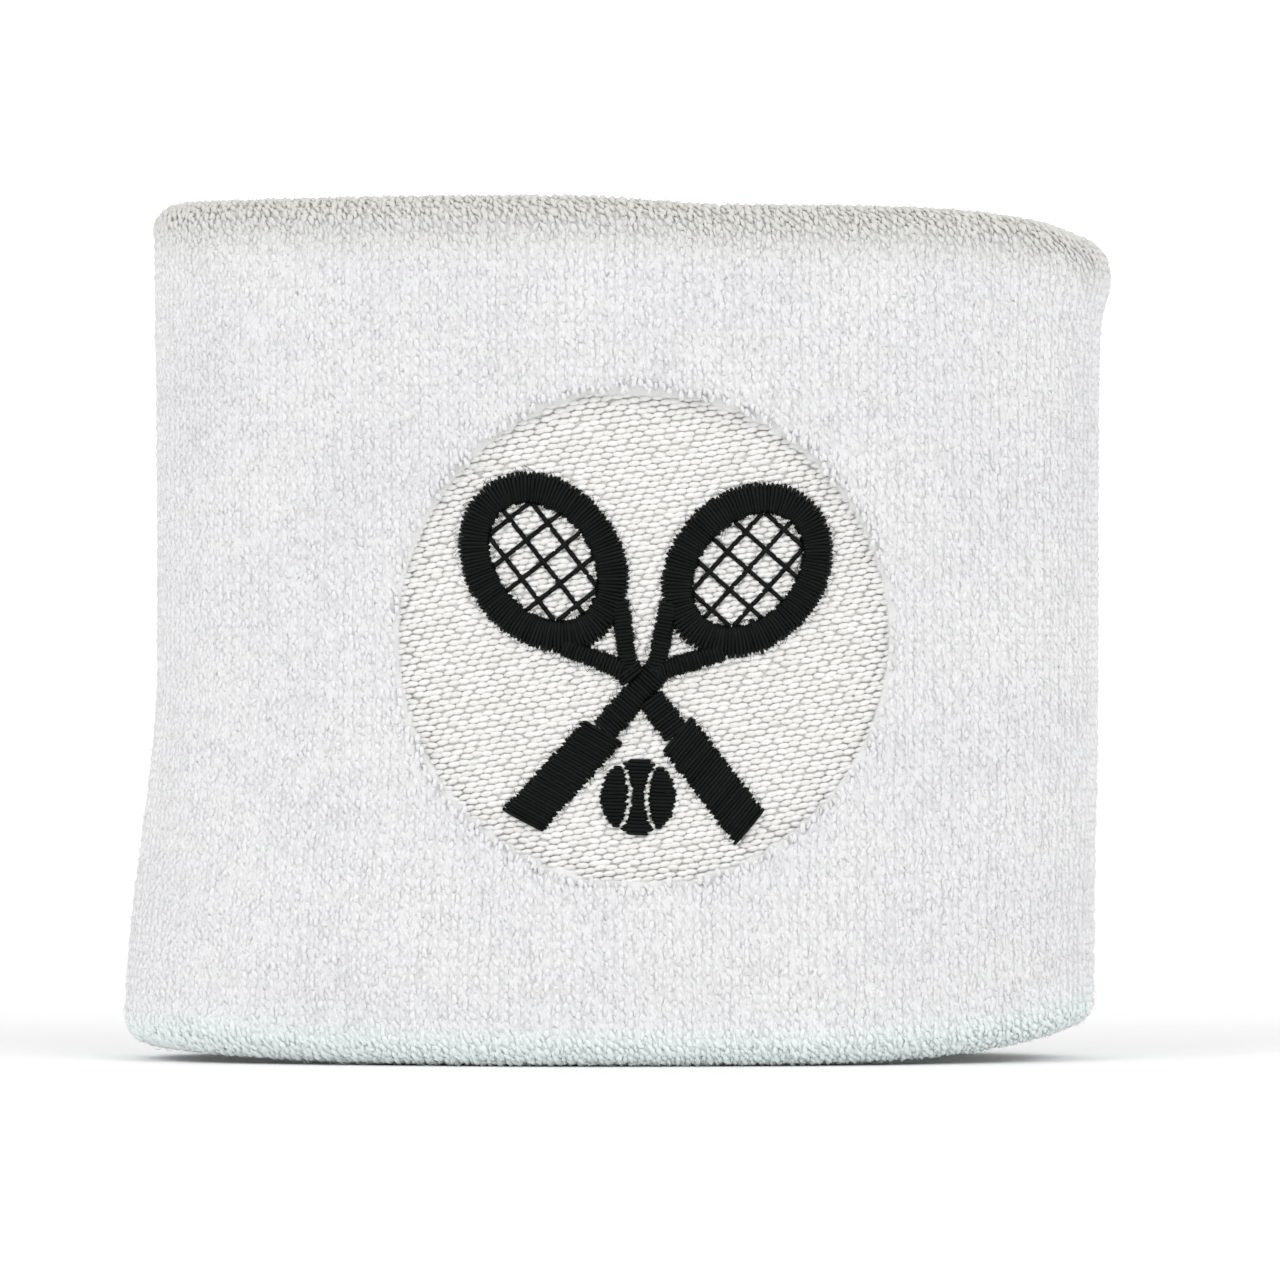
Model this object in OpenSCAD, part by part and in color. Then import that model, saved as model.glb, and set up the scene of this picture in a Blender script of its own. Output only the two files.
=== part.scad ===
// Terry sweat wristband: a knitted tube turned double, drawn in by elastic threads,
// with a round stitched emblem on its front face.
// Z runs along the wrist, the emblem faces -Y, and the origin is the middle of the base.

/* [Band] */
// Width of the relaxed band, across the emblem
band_w = 84; // [76:1:92]
// Depth of the relaxed band, from emblem face to back
band_d = 30; // [26:1:34]
// Height of the band, along the wrist
band_h = 76; // [70:1:90]
// Outer radius of the two narrow ends of the oval
side_r = 10; // [9:0.5:11]

/* [Terry wall] */
// Thickness of the whole double wall
wall_t = 5.8; // [5.6:0.1:6.4]
// Thickness of one terry layer, pile included
layer_t = 2.35; // [2.2:0.05:2.4]
// Radius at which the pile rolls over the upper and lower edges
roll_r = 2.1; // [1.5:0.1:2.3]
// How far the rolled edges reach down inside the band
return_h = 10; // [6:1:16]

/* [Closing seam] */
// Height of the stitched chain that closes the tube inside
seam_h = 2.2; // [1.6:0.1:3]
// How far the chain stands out of the inner face
seam_out = 0.3; // [0.1:0.05:0.5]
// Height of the raw edges that lie flat behind the chain
allowance_h = 6; // [4:0.5:8]
// Thickness of those raw edges
allowance_t = 0.4; // [0.3:0.05:0.45]

/* [Elastic threads] */
// Number of elastic threads above the seam, and again below it
threads_each_side = 5; // [2:1:6]
// Diameter of one covered rubber thread
thread_d = 0.45; // [0.3:0.05:0.5]
// Height of the lowest thread, and depth of the highest below the top
thread_margin = 7; // [5:0.5:9]

/* [Emblem] */
// Distance of the emblem's middle to the right of the band's middle
emblem_x = 1.4; // [-3:0.1:3]
// Distance of the emblem's middle below the band's middle
emblem_drop = 0.5; // [0:0.1:3]
// Diameter of the filled disc
disc_d = 44.8; // [38:0.2:48]
// Depth of the pocket that the stitching presses into the pile
pocket_depth = 1.8; // [1.4:0.1:1.8]
// Clearance between the disc and the pile round it
pocket_gap = 0.4; // [0.2:0.1:0.8]
// Thickness of the sparse underlay stitching
underlay_t = 0.2; // [0.1:0.05:0.3]
// Thickness of the filled disc
fill_t = 0.7; // [0.4:0.05:0.8]
// Thickness of the satin stitching on the disc
satin_t = 0.85; // [0.5:0.05:0.85]
// Thickness of the non-woven backing behind the outer layer
backing_t = 0.25; // [0.15:0.05:0.3]
// How far the backing reaches past the disc
backing_margin = 2; // [1:0.5:4]
// Thickness of the bobbin thread behind the backing
bobbin_t = 0.2; // [0.1:0.05:0.25]

/* [Racket motif] */
// Tilt of each racket from upright
racket_tilt = 40; // [36:1:44]
// Depth of the crossing point below the disc's middle
cross_drop = 4.5; // [3:0.5:6]
// Width of a racket head
head_w = 13.6; // [11:0.2:14]
// Length of a racket head
head_l = 16.8; // [14:0.2:17]
// Width of the satin line round a head
rim_w = 2.7; // [2:0.1:3]
// Distance from the crossing to the middle of a head
head_reach = 14; // [13:0.5:15]
// Width of a shaft
shaft_w = 2.4; // [1.8:0.1:3]
// Width of the two arms of a throat
throat_w = 1.6; // [1.2:0.1:2]
// Distance from the crossing to the end of a grip
grip_reach = 15.5; // [13:0.5:16]
// Length of a grip
grip_l = 10.5; // [8:0.5:11]
// Width of a grip
grip_w = 3.8; // [3:0.1:4.4]
// Width of one string
string_w = 0.45; // [0.3:0.05:0.6]
// Thickness of the string stitching
string_t = 0.3; // [0.2:0.05:0.4]
// Spacing of the strings
string_pitch = 2.4; // [1.8:0.1:3]
// Diameter of the ball
ball_d = 6.6; // [5:0.2:7]
// Depth of the ball's middle below the disc's middle
ball_drop = 14; // [13:0.5:15]
// Width of the two seam lines left open in the ball
ball_seam_w = 0.7; // [0.4:0.1:0.9]

/* [Hidden] */
$fn = 180;
half_w = band_w / 2;
half_d = band_d / 2;
// The oval is four tangent arcs: two narrow ends and two wide faces.
side_x = half_w - side_r;
flare = half_d - side_r;
face_c = (side_x * side_x - flare * flare) / (2 * flare);
face_r = half_d + face_c;
// Offsets are measured outwards from the outer surface, so those in the wall are negative.
outer_back = -layer_t;
inner_back = -wall_t + layer_t;
seam_z = band_h / 2;
seam_back = -wall_t + layer_t / 2;
thread_offset = inner_back + thread_d / 2 + 0.02;
thread_span = seam_z - allowance_h / 2 - 1.5 - thread_margin;
emblem_z = seam_z - emblem_drop;
pocket_floor = -pocket_depth;
fill_back = pocket_floor + underlay_t;
fill_front = fill_back + fill_t;
backing_back = outer_back - backing_t;
bobbin_back = backing_back - bobbin_t;
crossing_gap = 0.3;
oval_steps = 48;

THREADS = [for (i = [1 : 2 * threads_each_side]) str("elastic_thread_", i < 10 ? "0" : "", i)];
TERRY = ["outer_sleeve", "upper_turn_in", "lower_turn_in", "closing_seam", "seam_allowance"];
EMBLEM = ["embroidery_backing", "bobbin_stitching", "underlay_stitching", "filled_disc"];
MOTIF = [
    "left_racket_head", "right_racket_head",
    "left_racket_strings", "right_racket_strings",
    "left_racket_shaft", "right_racket_shaft",
    "left_racket_grip", "right_racket_grip",
    "stitched_ball"
];

// ---- shapes shared by the sub-parts ----

// Sweeps a profile round the oval. Its x is the offset from the outer surface, its y the height.
// Each arc is a full turn cut to its share by two planes, which the next arc shares.
module sweep_round() {
    for (side = [0, 180])
        rotate([0, 0, side]) {
            intersection() {
                translate([side_x, 0, 0])
                    rotate_extrude() translate([side_r, 0]) children();
                wedge([side_x, 0], [1.5 * side_x, face_c / 2], [1.5 * side_x, -face_c / 2]);
            }
            intersection() {
                translate([0, -face_c, 0])
                    rotate_extrude() translate([face_r, 0]) children();
                wedge([0, -face_c], [2 * side_x, face_c], [-2 * side_x, face_c]);
            }
        }
}

// A three-sided prism, higher and lower than the band.
module wedge(a, b, c) {
    translate([0, 0, -1]) linear_extrude(height = band_h + 2) polygon([a, b, c]);
}

// A rectangle with round corners, from its lowest corner to its highest.
module rounded_rect(low, high, r) {
    translate([low.x + r, low.y]) square([high.x - low.x - 2 * r, high.y - low.y]);
    translate([low.x, low.y + r]) square([high.x - low.x, high.y - low.y - 2 * r]);
    for (x = [low.x + r, high.x - r], y = [low.y + r, high.y - r])
        translate([x, y]) circle(r, $fn = 48);
}

// Part of the inner terry layer, between two heights.
module inner_layer(low, high) {
    sweep_round() translate([-wall_t, low]) square([layer_t, high - low]);
}

// The shell of the front face between two offsets.
module face_shell(back, front) {
    translate([0, face_c, 0])
        difference() {
            cylinder(r = face_r + front, h = band_h);
            translate([0, 0, -1]) cylinder(r = face_r + back, h = band_h + 2);
        }
}

// An outline drawn round the emblem's middle, seen from the front, laid on the face as a layer.
module on_face(back, front) {
    intersection() {
        translate([emblem_x, 0, emblem_z])
            rotate([90, 0, 0]) linear_extrude(height = band_d) children();
        face_shell(back, front);
    }
}

module oval(w, l) {
    polygon([for (i = [0 : oval_steps - 1])
        [w / 2 * cos(360 * i / oval_steps), l / 2 * sin(360 * i / oval_steps)]]);
}

// Places an outline along a racket: y runs from the crossing to the head. side is 1 or -1.
module along_racket(side) {
    translate([0, -cross_drop]) rotate(-side * racket_tilt) children();
}

module bar(w, from, to) {
    translate([-w / 2, from]) square([w, to - from]);
}

// ---- outlines of the motif ----

module head_outline() {
    translate([0, head_reach])
        difference() {
            oval(head_w, head_l);
            oval(head_w - 2 * rim_w, head_l - 2 * rim_w);
        }
}

module strings_outline() {
    translate([0, head_reach])
        intersection() {
            oval(head_w - 2 * rim_w, head_l - 2 * rim_w);
            union() {
                for (i = [-1 : 1]) translate([i * string_pitch, 0]) square([string_w, head_l], center = true);
                for (i = [-2 : 2]) translate([0, i * string_pitch]) square([head_w, string_w], center = true);
            }
        }
}

// The shaft runs from the grip to the head, and its throat has one arm to each side of the head.
module shaft_outline() {
    difference() {
        union() {
            bar(shaft_w, grip_l - grip_reach, head_reach - head_l / 2 + rim_w / 2);
            for (arm = [-1, 1])
                translate([0, shaft_w / 2]) rotate(arm * 28) bar(throat_w, 0, head_reach - head_l / 2 + rim_w);
        }
        translate([0, head_reach]) oval(head_w, head_l);
    }
}

module grip_outline() {
    end_r = grip_w / 4;
    rounded_rect([-grip_w / 2, -grip_reach], [grip_w / 2, grip_l - grip_reach], end_r);
}

// The strip that the right racket covers, left free by the left one.
module crossing_strip() {
    along_racket(1) bar(shaft_w + 2 * crossing_gap, -grip_reach, shaft_w / 2 + throat_w / 2);
    along_racket(1)
        for (arm = [-1, 1])
            translate([0, shaft_w / 2]) rotate(arm * 28) bar(throat_w + 2 * crossing_gap, 0, head_reach);
}

module ball_outline() {
    seam_r = 0.75 * ball_d;
    difference() {
        circle(d = ball_d);
        for (side = [-1, 1])
            translate([side * (seam_r + ball_seam_w), 0])
                difference() {
                    circle(seam_r + ball_seam_w / 2);
                    circle(seam_r - ball_seam_w / 2);
                }
    }
}

// ---- terry ----

// The outer face, with the edges rolled over at both ends and returned inside.
module outer_sleeve() {
    color("white")
        difference() {
            sweep_round()
                difference() {
                    rounded_rect([-wall_t, 0], [0, band_h], roll_r);
                    rounded_rect([inner_back, layer_t], [outer_back, band_h - layer_t], 0.5);
                    translate([-wall_t - 1, return_h])
                        square([wall_t + 1 + inner_back + 0.5, band_h - 2 * return_h]);
                }
            on_face(pocket_floor, 1) circle(d = disc_d + 2 * pocket_gap);
        }
}

module upper_turn_in() {
    color("snow") inner_layer(seam_z + seam_h / 2, band_h - return_h);
}

module lower_turn_in() {
    color("snow") inner_layer(return_h, seam_z - seam_h / 2);
}

// The chain of thread that joins the two turned-in ends.
module closing_seam() {
    color("gainsboro")
        sweep_round()
            translate([-wall_t - seam_out, seam_z - seam_h / 2])
                square([wall_t + seam_out + seam_back, seam_h]);
}

// The two raw edges, oversewn together and laid flat between the layers.
module seam_allowance() {
    color("whitesmoke")
        sweep_round()
            translate([inner_back, seam_z - allowance_h / 2]) square([allowance_t, allowance_h]);
}

// ---- elastic threads ----

// Threads are numbered from the lowest; those above the seam continue the count.
module elastic_thread(i) {
    step = thread_span / (threads_each_side - 1);
    z = i <= threads_each_side
        ? thread_margin + (i - 1) * step
        : band_h - thread_margin - (2 * threads_each_side - i) * step;
    color("ivory") sweep_round() translate([thread_offset, z]) circle(d = thread_d, $fn = 24);
}

// ---- emblem ----

module embroidery_backing() {
    color("white") on_face(backing_back, outer_back) circle(d = disc_d + 2 * backing_margin);
}

module bobbin_stitching() {
    color("white") on_face(bobbin_back, backing_back) circle(d = disc_d);
}

module underlay_stitching() {
    color("linen") on_face(pocket_floor, fill_back) circle(d = disc_d - 1);
}

module filled_disc() {
    color("linen") on_face(fill_back, fill_front) circle(d = disc_d);
}

module satin() {
    color([0.04, 0.05, 0.05]) on_face(fill_front, fill_front + satin_t) children();
}

module racket_head(side) {
    satin() along_racket(side) head_outline();
}

module racket_strings(side) {
    color([0.04, 0.05, 0.05])
        on_face(fill_front, fill_front + string_t) along_racket(side) strings_outline();
}

module left_racket_shaft() {
    satin()
        difference() {
            along_racket(-1) shaft_outline();
            crossing_strip();
        }
}

module right_racket_shaft() {
    satin() along_racket(1) shaft_outline();
}

module racket_grip(side) {
    satin() along_racket(side) grip_outline();
}

module stitched_ball() {
    satin() translate([0, -ball_drop]) ball_outline();
}

outer_sleeve();
upper_turn_in();
lower_turn_in();
closing_seam();
seam_allowance();
for (i = [1 : 2 * threads_each_side])
    elastic_thread(i);
embroidery_backing();
bobbin_stitching();
underlay_stitching();
filled_disc();
racket_head(-1);  // left_racket_head
racket_head(1);  // right_racket_head
racket_strings(-1);  // left_racket_strings
racket_strings(1);  // right_racket_strings
left_racket_shaft();
right_racket_shaft();
racket_grip(-1);  // left_racket_grip
racket_grip(1);  // right_racket_grip
stitched_ball();
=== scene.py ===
"""A terry sweat wristband with a stitched emblem, standing on a pale floor.

The knit is built as it is made: one tube of ground cloth, folded double, with a yarn loop for every
stitch of its pile. The embroidery is built thread by thread. All lengths are in metres.
"""
import math

import bpy
import numpy as np
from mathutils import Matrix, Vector


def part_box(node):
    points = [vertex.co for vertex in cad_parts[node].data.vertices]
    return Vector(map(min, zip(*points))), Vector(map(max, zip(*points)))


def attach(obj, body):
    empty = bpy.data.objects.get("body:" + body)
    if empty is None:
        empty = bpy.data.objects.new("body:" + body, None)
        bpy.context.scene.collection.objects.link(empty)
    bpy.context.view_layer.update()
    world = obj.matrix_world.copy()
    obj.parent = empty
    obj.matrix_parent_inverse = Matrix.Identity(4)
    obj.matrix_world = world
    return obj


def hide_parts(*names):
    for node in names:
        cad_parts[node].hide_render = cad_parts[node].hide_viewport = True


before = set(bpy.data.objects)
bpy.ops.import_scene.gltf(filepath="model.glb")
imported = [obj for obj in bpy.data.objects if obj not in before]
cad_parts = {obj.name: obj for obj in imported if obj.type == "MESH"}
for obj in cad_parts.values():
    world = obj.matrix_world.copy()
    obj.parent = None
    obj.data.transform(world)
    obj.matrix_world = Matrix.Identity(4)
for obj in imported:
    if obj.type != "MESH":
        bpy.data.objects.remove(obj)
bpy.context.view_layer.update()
MM = 0.001
rng = np.random.default_rng(20)

# ---- sizes, from the frame ----

HALF_W, HALF_D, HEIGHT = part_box("outer_sleeve")[1]
MIDDLE = HEIGHT / 2
DISC_LOW, DISC_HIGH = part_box("filled_disc")
DISC_X = (DISC_LOW[0] + DISC_HIGH[0]) / 2
DISC_Z = (DISC_LOW[2] + DISC_HIGH[2]) / 2
DISC_R = (DISC_HIGH[2] - DISC_LOW[2]) / 2
SEAM_LOW, SEAM_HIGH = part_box("closing_seam")
SEAM_HALF = (SEAM_HIGH[2] - SEAM_LOW[2]) / 2
RETURN_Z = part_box("lower_turn_in")[0][2]
THREADS = [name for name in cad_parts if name.startswith("elastic_thread")]

# ---- sizes of the oval and the wall, as in the CAD ----

SIDE_R = 10 * MM
WALL = 5.8 * MM
LAYER = 2.35 * MM
POCKET = -1.8 * MM
FILL_FRONT = -0.9 * MM
BACKING_BACK = -LAYER - 0.25 * MM

# ---- sizes of the knit: a loop for each wale round the band and each course up it ----

PILE = 0.39 * MM
ROLL_R = 2.1 * MM
WALE = 0.85 * MM
COURSE = 0.78 * MM
ROLL_COURSE = 0.70 * MM
ROLL_FADE = 1.6
WALL_LEAN, ROLL_LEAN, LEAN_SPREAD = 0.12, 0.5, 0.22
UPPER_TALLER, LOWER_TALLER = 1.1, 0.3
YARN_R = 0.25 * MM
BETWEEN_TALL, BETWEEN_R = 0.8, 0.9 * YARN_R
LOOP_HALF_SPAN = 0.33 * MM
PLACE_SPREAD = 0.06 * MM, 0.07 * MM
DROOP_SPREAD = 0.20 * MM, 0.15 * MM
EMBLEM_EDGE, EDGE_SPREAD = -0.65 * MM, 0.15 * MM
GROUND_RISE = 0.13 * MM
GROUND_T = 0.5 * MM
GROUND_COLUMNS = 320
GROUND_STEP = 1.1 * MM
FIBRE_R = 0.02 * MM
FIBRE_L, FIBRE_RISE = 1.1 * MM, 0.25 * MM
FUZZ_PER_AREA = 0.35 / MM**2

# ---- the oval: four arcs that meet smoothly ----

SIDE_X = HALF_W - SIDE_R
FLARE = HALF_D - SIDE_R
FACE_C = (SIDE_X**2 - FLARE**2) / (2 * FLARE)
FACE_R = HALF_D + FACE_C
SIDE_ANGLE = math.atan2(FACE_C, SIDE_X)
FACE_ANGLE = math.pi - 2 * SIDE_ANGLE
ARC_CENTRE = np.array([[SIDE_X, 0], [0, -FACE_C], [-SIDE_X, 0], [0, FACE_C]])
ARC_RADIUS = np.array([SIDE_R, FACE_R, SIDE_R, FACE_R])
ARC_START = np.array([-SIDE_ANGLE, SIDE_ANGLE, math.pi - SIDE_ANGLE, math.pi + SIDE_ANGLE])
ARC_LENGTH = ARC_RADIUS * [2 * SIDE_ANGLE, FACE_ANGLE, 2 * SIDE_ANGLE, FACE_ANGLE]
ARC_END = np.cumsum(ARC_LENGTH)
ROUND = ARC_END[-1]


def oval(along, offset):
    """Points and outward normals at a distance along the outer surface, with an offset outwards."""
    along = np.mod(along, ROUND)
    arc = np.minimum(np.searchsorted(ARC_END, along, side="right"), 3)
    angle = ARC_START[arc] + (along - (ARC_END - ARC_LENGTH)[arc]) / ARC_RADIUS[arc]
    normal = np.stack([np.cos(angle), np.sin(angle)], -1)
    reach = (ARC_RADIUS[arc] + offset)[..., None]
    return ARC_CENTRE[arc] + reach * normal, normal


# ---- the wall's profile: a closed path down the inside, round the edges and up the outside ----

WALL_HALF = WALL / 2 - PILE
STRAIGHT = HEIGHT - 2 * PILE - 2 * ROLL_R
ACROSS = 2 * (WALL_HALF - ROLL_R)
QUARTER = math.pi / 2 * ROLL_R
# Each stretch has its length and its quarter turns. The path begins at the seam and runs down the
# inner face.
STRETCHES = [
    (STRAIGHT / 2, 0), (QUARTER, 1), (ACROSS, 0), (QUARTER, 1), (STRAIGHT, 0),
    (QUARTER, 1), (ACROSS, 0), (QUARTER, 1), (STRAIGHT / 2, 0),
]
STRETCH_END = np.cumsum([length for length, turn in STRETCHES])
PATH = STRETCH_END[-1]


def path_starts():
    """Where each stretch of the wall's path begins, and its heading there."""
    spot = np.array([-WALL / 2 - WALL_HALF, MIDDLE])
    heading = -math.pi / 2
    starts = []
    for length, turn in STRETCHES:
        starts.append((*spot, heading))
        if turn:
            centre = spot + ROLL_R * np.array([-math.sin(heading), math.cos(heading)])
            heading += math.pi / 2
            spot = centre + ROLL_R * np.array([math.sin(heading), -math.cos(heading)])
        else:
            spot = spot + length * np.array([math.cos(heading), math.sin(heading)])
    return np.array(starts)


STARTS = path_starts()
TURNS = np.array([turn for length, turn in STRETCHES])


def wall(down):
    """The spot and the outward direction at a distance along the path, as offset and height."""
    part = np.minimum(np.searchsorted(STRETCH_END, down, side="right"), len(STRETCHES) - 1)
    into = down - np.concatenate([[0], STRETCH_END])[part]
    offset, height, heading = (STARTS[part, i] for i in range(3))
    turned = heading + TURNS[part] * into / ROLL_R
    straight = np.stack([offset + into * np.cos(heading), height + into * np.sin(heading)], -1)
    centre = np.stack([offset - ROLL_R * np.sin(heading), height + ROLL_R * np.cos(heading)], -1)
    curved = centre + ROLL_R * np.stack([np.sin(turned), -np.cos(turned)], -1)
    spot = np.where(TURNS[part][..., None] == 1, curved, straight)
    outward = np.stack([np.sin(turned), -np.cos(turned)], -1)
    return spot, outward


OUTER_FROM = STRAIGHT / 2 - (RETURN_Z - PILE - ROLL_R)
OUTER_TO = PATH - OUTER_FROM
SEAM_FROM = SEAM_HALF
SEAM_TO = PATH - SEAM_HALF
ROLL = 2 * QUARTER + ACROSS
LOWER_ROLL = STRAIGHT / 2
UPPER_ROLL = LOWER_ROLL + ROLL + STRAIGHT

# ---- the shape that the cloth takes when it stands ----

CROWN = 3.0 * MM
UPPER_BOW, UPPER_TILT = 0.55, 0.5
LOWER_BOW, LOWER_TILT = 0.85, 0.35
RIM_DIP, DIP_WIDTH = 0.8 * MM, 16 * MM
LEAN = 0.6 * MM
LEFT_FLARE = 2.6 * MM
FOOT_LEVEL, FOOT_FADE = 0.46, 0.42
CORNER_BULGE, CORNER_LEVEL, CORNER_SPREAD = 0.9 * MM, 0.945, 3.0 * MM
LONG_WAVE, LONG_WAVE_X, LONG_WAVE_Z = 0.28 * MM, 9 * MM, 11 * MM
SHORT_WAVE, SHORT_WAVE_X, SHORT_WAVE_Z = 0.16 * MM, 4.1 * MM, 7 * MM
EMBLEM_TURN = math.radians(-1.8)


def smooth(x):
    """A soft step: 0 up to 0, 1 from 1 on."""
    x = np.clip(x, 0, 1)
    return x * x * (3 - 2 * x)


def disc_distance(p):
    """Distance of points on the front from the emblem's edge, negative inside. Large elsewhere."""
    away = np.hypot(p[..., 0] - DISC_X, p[..., 2] - DISC_Z) - DISC_R
    return np.where(p[..., 1] < 0, away, 1.0)


def relax(p):
    """Moves points of the ideal band to where the soft band has them.

    The two edges bow towards the sides, the rim dips on the right, the foot spreads to the left,
    the upper right corner stands full, and the faces wave a little outside the emblem.
    """
    x, y, z = p[..., 0], p[..., 1], p[..., 2]
    sideways = x / HALF_W
    side = np.minimum(np.abs(sideways), 0.95)
    level = (z - MIDDLE) / MIDDLE
    upper = (UPPER_BOW + UPPER_TILT * sideways) * side**6
    lower = (LOWER_BOW + LOWER_TILT * sideways) * side**4
    dip = RIM_DIP * smooth(x / DIP_WIDTH + 0.4) * np.maximum(level, 0)
    new_z = np.maximum(z - CROWN * np.where(level > 0, upper, lower) * level - dip, 0)

    low = smooth((FOOT_LEVEL - z / HEIGHT) / FOOT_FADE)
    spread = LEFT_FLARE * np.clip(sideways, -1, 0) - LEAN * np.clip(sideways, 0, 1)
    near_corner = np.exp(-(((z - CORNER_LEVEL * HEIGHT) / CORNER_SPREAD) ** 2))
    new_x = x + low * spread + CORNER_BULGE * near_corner * smooth(sideways * 4 - 3)

    wave = LONG_WAVE * np.sin(x / LONG_WAVE_X + 1.1) * np.sin(z / LONG_WAVE_Z + 0.4)
    wave = wave + SHORT_WAVE * np.sin(x / SHORT_WAVE_X - z / SHORT_WAVE_Z)
    wave = wave * smooth(np.hypot(x - DISC_X, z - DISC_Z) / DISC_R - 0.9)
    return np.stack([new_x, y + wave, new_z], -1)


def on_tube(along, down):
    """Points of the ideal tube of cloth, with the directions out of, round and along it."""
    spot, out = wall(down)
    flat, normal = oval(along, spot[..., 0])
    point = np.concatenate([flat, spot[..., 1:]], -1)
    outward = np.concatenate([normal * out[..., :1], out[..., 1:]], -1)
    across = np.stack([-normal[..., 1], normal[..., 0], np.zeros(normal.shape[:-1])], -1)
    lengthwise = np.cross(across, outward)
    return point, outward, across, lengthwise


# ---- cloth simulation: how the double wall puffs out between its seam and its emblem ----

SIM_COLUMNS = 96
SIM_ROWS = 56
SIM_SCALE = 20
SIM_FRAMES = 20
SMOOTHINGS = 2
MOST_PUFF = 0.7 * MM


def torus_faces(columns, rows):
    """The quads of a grid of points that closes on itself both ways."""
    index = np.arange(columns * rows).reshape(columns, rows)
    right = np.roll(index, -1, axis=0)
    below = np.roll(index, -1, axis=1)
    both = np.roll(right, -1, axis=1)
    return np.stack([index, right, both, below], -1).reshape(-1, 4)


def inflate(mesh, held):
    """Runs the cloth simulation on a coarse tube, held where its vertices are listed."""
    tube = bpy.data.objects.new("coarse_tube", mesh)
    bpy.context.scene.collection.objects.link(tube)
    tube.vertex_groups.new(name="held").add(held, 1.0, "ADD")
    modifier = tube.modifiers.new("cloth", "CLOTH")
    cloth = modifier.settings
    cloth.quality = 5
    cloth.mass = 0.3
    cloth.air_damping = 5
    cloth.tension_stiffness = 60
    cloth.compression_stiffness = 60
    cloth.bending_stiffness = 8
    cloth.use_pressure = True
    cloth.uniform_pressure_force = 0.5
    cloth.shrink_min = -0.01
    cloth.vertex_group_mass = "held"
    cloth.effector_weights.gravity = 0
    modifier.collision_settings.use_collision = False
    modifier.point_cache.frame_end = SIM_FRAMES
    for step in range(1, SIM_FRAMES + 1):
        bpy.context.scene.frame_set(step)
    simulated = tube.evaluated_get(bpy.context.evaluated_depsgraph_get())
    points = np.empty(3 * len(mesh.vertices))
    simulated.data.vertices.foreach_get("co", points)
    bpy.data.objects.remove(tube)
    bpy.context.scene.frame_set(1)
    return points.reshape(-1, 3)


def puff_field():
    """How far the simulation moves each point of a coarse grid, kept level, smoothed and capped."""
    along = np.linspace(0, ROUND, SIM_COLUMNS, endpoint=False)[:, None] + np.zeros(SIM_ROWS)
    down = np.zeros((SIM_COLUMNS, 1)) + np.linspace(0, PATH, SIM_ROWS, endpoint=False)
    rest = on_tube(along, down)[0]
    near_seam = np.minimum(down, PATH - down) < 2 * SEAM_HALF
    held = np.flatnonzero((disc_distance(rest) < 0.5 * MM) | near_seam)
    mesh = bpy.data.meshes.new("coarse_tube")
    corners = (rest * SIM_SCALE).reshape(-1, 3)
    mesh.from_pydata(corners.tolist(), [], torus_faces(SIM_COLUMNS, SIM_ROWS).tolist())
    move = inflate(mesh, held.tolist()).reshape(rest.shape) / SIM_SCALE - rest
    move[..., 2] = 0
    for _ in range(SMOOTHINGS):
        move = (2 * move + sum(np.roll(move, s, axis=a) for s in (-1, 1) for a in (0, 1))) / 6
    size = np.linalg.norm(move, axis=-1, keepdims=True)
    return move * (MOST_PUFF * np.tanh(size / MOST_PUFF) / np.maximum(size, 1e-9))


def puffed(along, down):
    """The simulated movement at any places on the tube."""
    column = np.mod(along / ROUND, 1) * SIM_COLUMNS
    row = np.mod(down / PATH, 1) * SIM_ROWS
    c, r = np.floor(column).astype(int), np.floor(row).astype(int)
    u, v = (column - c)[..., None], (row - r)[..., None]
    c, r = c % SIM_COLUMNS, r % SIM_ROWS
    c_next, r_next = (c + 1) % SIM_COLUMNS, (r + 1) % SIM_ROWS
    near = PUFF[c, r] * (1 - v) + PUFF[c, r_next] * v
    far = PUFF[c_next, r] * (1 - v) + PUFF[c_next, r_next] * v
    return near * (1 - u) + far * u


PUFF = puff_field()


def on_knit(along, down):
    """Points of the knit as the simulation leaves it, with its directions out, round and along."""
    point, outward, across, lengthwise = on_tube(along, down)
    return point + puffed(along, down), outward, across, lengthwise


def on_face(x, z, offset):
    """Points on the front, x and z from the emblem's middle, with the direction out of the face."""
    x, z = (
        x * math.cos(EMBLEM_TURN) - z * math.sin(EMBLEM_TURN),
        x * math.sin(EMBLEM_TURN) + z * math.cos(EMBLEM_TURN),
    )
    angle = (DISC_X + x) / FACE_R
    normal = np.stack([np.sin(angle), -np.cos(angle), np.zeros_like(angle)], -1)
    reach = FACE_R + offset
    height = DISC_Z + z + 0 * angle
    point = np.stack([reach * np.sin(angle), FACE_C - reach * np.cos(angle), height], -1)
    return point, normal


# ---- meshes ----


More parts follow.
